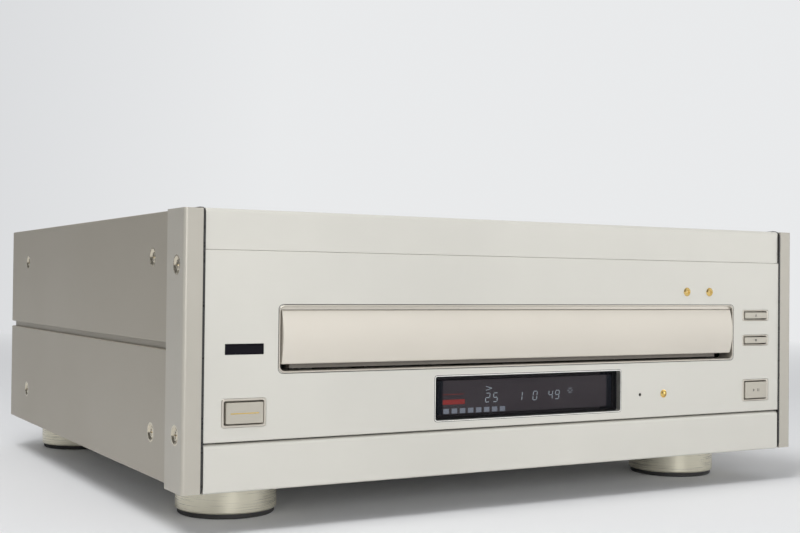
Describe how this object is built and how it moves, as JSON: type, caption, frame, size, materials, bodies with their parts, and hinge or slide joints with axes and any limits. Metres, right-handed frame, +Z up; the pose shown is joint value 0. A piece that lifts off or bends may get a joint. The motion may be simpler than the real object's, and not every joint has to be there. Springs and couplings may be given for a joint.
{
  "type": "laserdisc player",
  "caption": "Front-loading player for 30 cm video discs with a sliding disc tray, folding door, push keys, display window and round feet.",
  "frame": {"origin": "on the surface it stands on, under the middle of the whole machine", "axes": "+X to the viewer's right, +Y to the back, +Z up; the front panel faces -Y"},
  "size_m": [0.4542, 0.4346, 0.1766],
  "materials": {
    "front_metal": "fine satin anodised, light champagne",
    "tray_metal": "satin anodised, a little warmer than the panel",
    "side_finish": "champagne metallic lacquer",
    "black_edge": "black",
    "bezel_metal": "satin champagne",
    "key_metal": "satin champagne",
    "gold": "polished",
    "lamp_lens": "amber lens",
    "smoked": "smoked window",
    "display_tube": "dark display tube",
    "black_window": "infrared filter",
    "black_moulding": "moulded black",
    "board_green": "circuit board",
    "steel": "zinc-plated sheet",
    "cover_paint": "champagne lacquer on sheet steel",
    "foot_metal": "turned and anodised champagne",
    "rubber": "matt black",
    "tray_plastic": "moulded grey-brown",
    "rail_plastic": "moulded dark grey",
    "gear_plastic": "white acetal",
    "turned_metal": "turned",
    "lens": "pickup head",
    "screw_metal": "plated champagne",
    "core_steel": "laminated core, varnished",
    "socket_black": "moulded black",
    "jack_gold": "gold plated shells in black blocks"
  },
  "bodies": {
    "player": {"ac_inlet": "socket_black", "chassis_pan": "steel", "clamp_bridge": "steel", "control_strip": "black_moulding", "corner_posts": "front_metal", "cup_washers": "screw_metal", "display_module": "display_tube", "display_window": "smoked", "door_hinge_pins": "steel", "edge_plates": "black_edge", "feet": "foot_metal", "foot_rings": "rubber", "front_frame": "black_moulding", "front_panel": "front_metal", "key_bezels": "bezel_metal", "key_boards": "board_green", "lamp_lenses": "lamp_lens", "lamp_rings": "gold", "loading_belt": "rubber", "loading_motor": "steel", "main_board": "board_green", "mech_base": "steel", "phone_socket": "jack_gold", "power_board": "board_green", "rear_jacks": "jack_gold", "rear_panel": "steel", "screws": "screw_metal", "sensor_window": "black_window", "side_panel_left": "side_finish", "side_panel_right": "side_finish", "top_band": "front_metal", "top_cover": "cover_paint", "transformer": "core_steel", "tray_opening_trim": "bezel_metal", "tray_rails": "rail_plastic", "turning_guides": "rail_plastic"},
    "door": {"door": "front_metal"},
    "power_key": {"power_key": "key_metal"},
    "open_key": {"open_key": "key_metal"},
    "stop_key": {"stop_key": "key_metal"},
    "play_key": {"play_key": "key_metal"},
    "lens_key": {"lens_key": "gold"},
    "level_knob": {"level_knob": "black_moulding"},
    "tray": {"tray": "tray_plastic", "tray_front": "tray_metal"},
    "tray_gear": {"tray_gear": "gear_plastic"},
    "idler_gear": {"idler_gear": "gear_plastic"},
    "motor_pulley": {"motor_pulley": "gear_plastic"},
    "lift_cam": {"lift_cam": "gear_plastic"},
    "spindle": {"spindle_motor": "steel"},
    "turntable": {"turntable": "turned_metal"},
    "clamp_holder": {"clamp_holder": "rail_plastic"},
    "clamper": {"clamper": "rail_plastic"},
    "carriage": {"carriage": "turned_metal", "pickup": "lens"},
    "carriage_gear": {"carriage_gear": "gear_plastic"},
    "small_key_1": {"small_key_1": "black_moulding"},
    "small_key_2": {"small_key_2": "black_moulding"},
    "small_key_3": {"small_key_3": "black_moulding"},
    "small_key_4": {"small_key_4": "black_moulding"}
  },
  "joints": [
    {"name": "door_hinge", "type": "hinge", "parent": "player", "child": "door", "pos_m": [0, -0.2082, 0.0272], "axis": [1, 0, 0], "range_deg": [0, 90]},
    {"name": "power_press", "type": "slide", "parent": "player", "child": "power_key", "axis": [0, 1, 0], "range_m": [0, 0.001], "stiffness_N_per_m": 500},
    {"name": "open_press", "type": "slide", "parent": "player", "child": "open_key", "axis": [0, 1, 0], "range_m": [0, 0.001], "stiffness_N_per_m": 500},
    {"name": "stop_press", "type": "slide", "parent": "player", "child": "stop_key", "axis": [0, 1, 0], "range_m": [0, 0.001], "stiffness_N_per_m": 500},
    {"name": "play_press", "type": "slide", "parent": "player", "child": "play_key", "axis": [0, 1, 0], "range_m": [0, 0.001], "stiffness_N_per_m": 500},
    {"name": "lens_press", "type": "slide", "parent": "player", "child": "lens_key", "axis": [0, 1, 0], "range_m": [0, 0.001], "stiffness_N_per_m": 500},
    {"name": "level_turn", "type": "hinge", "parent": "player", "child": "level_knob", "pos_m": [0.128, -0.2057, 0.037], "axis": [0, 1, 0], "range_deg": [-150, 150]},
    {"name": "tray_slide", "type": "slide", "parent": "player", "child": "tray", "axis": [0, -1, 0], "range_m": [0, 0.318]},
    {"name": "tray_gear_spin", "type": "hinge", "parent": "player", "child": "tray_gear", "pos_m": [-0.136, -0.1537, 0.084], "axis": [0, 0, 1], "range_deg": [0, 1525]},
    {"name": "idler_spin", "type": "hinge", "parent": "player", "child": "idler_gear", "pos_m": [-0.11, -0.1537, 0.078], "axis": [0, 0, 1], "range_deg": [-3425, 0]},
    {"name": "motor_spin", "type": "hinge", "parent": "player", "child": "motor_pulley", "pos_m": [-0.066, -0.1537, 0.075], "axis": [0, 0, 1], "range_deg": [-8550, 0]},
    {"name": "spindle_lift", "type": "slide", "parent": "player", "child": "spindle", "axis": [0, 0, 1], "range_m": [0, 0.011]},
    {"name": "cam_slide", "type": "slide", "parent": "player", "child": "lift_cam", "axis": [1, 0, 0], "range_m": [0, 0.033]},
    {"name": "turntable_spin", "type": "hinge", "parent": "spindle", "child": "turntable", "pos_m": [0, -0.0377, 0.088], "axis": [0, 0, 1], "continuous": true},
    {"name": "clamp_drop", "type": "slide", "parent": "player", "child": "clamp_holder", "axis": [0, 0, -1], "range_m": [0, 0.0035]},
    {"name": "clamper_spin", "type": "hinge", "parent": "clamp_holder", "child": "clamper", "pos_m": [0, -0.0377, 0.115], "axis": [0, 0, 1], "continuous": true},
    {"name": "carriage_slide", "type": "slide", "parent": "player", "child": "carriage", "axis": [0, -1, 0], "range_m": [0, 0.094]},
    {"name": "carriage_gear_spin", "type": "hinge", "parent": "carriage", "child": "carriage_gear", "pos_m": [-0.0355, 0.1123, 0.0563], "axis": [1, 0, 0], "range_deg": [-680, 0]},
    {"name": "small_press_1", "type": "slide", "parent": "player", "child": "small_key_1", "axis": [0, 1, 0], "range_m": [0, 0.001], "stiffness_N_per_m": 500},
    {"name": "small_press_2", "type": "slide", "parent": "player", "child": "small_key_2", "axis": [0, 1, 0], "range_m": [0, 0.001], "stiffness_N_per_m": 500},
    {"name": "small_press_3", "type": "slide", "parent": "player", "child": "small_key_3", "axis": [0, 1, 0], "range_m": [0, 0.001], "stiffness_N_per_m": 500},
    {"name": "small_press_4", "type": "slide", "parent": "player", "child": "small_key_4", "axis": [0, 1, 0], "range_m": [0, 0.001], "stiffness_N_per_m": 500}
  ],
  "couplings": [
    {"joint": "tray_gear_spin", "follows": "tray_slide", "rad_per_m": 83.333},
    {"joint": "idler_spin", "follows": "tray_slide", "rad_per_m": -187.5},
    {"joint": "motor_spin", "follows": "tray_slide", "rad_per_m": -468.75},
    {"joint": "cam_slide", "follows": "spindle_lift", "ratio": 3},
    {"joint": "clamp_drop", "follows": "spindle_lift", "ratio": 0.31818},
    {"joint": "carriage_gear_spin", "follows": "carriage_slide", "rad_per_m": -125}
  ]
}
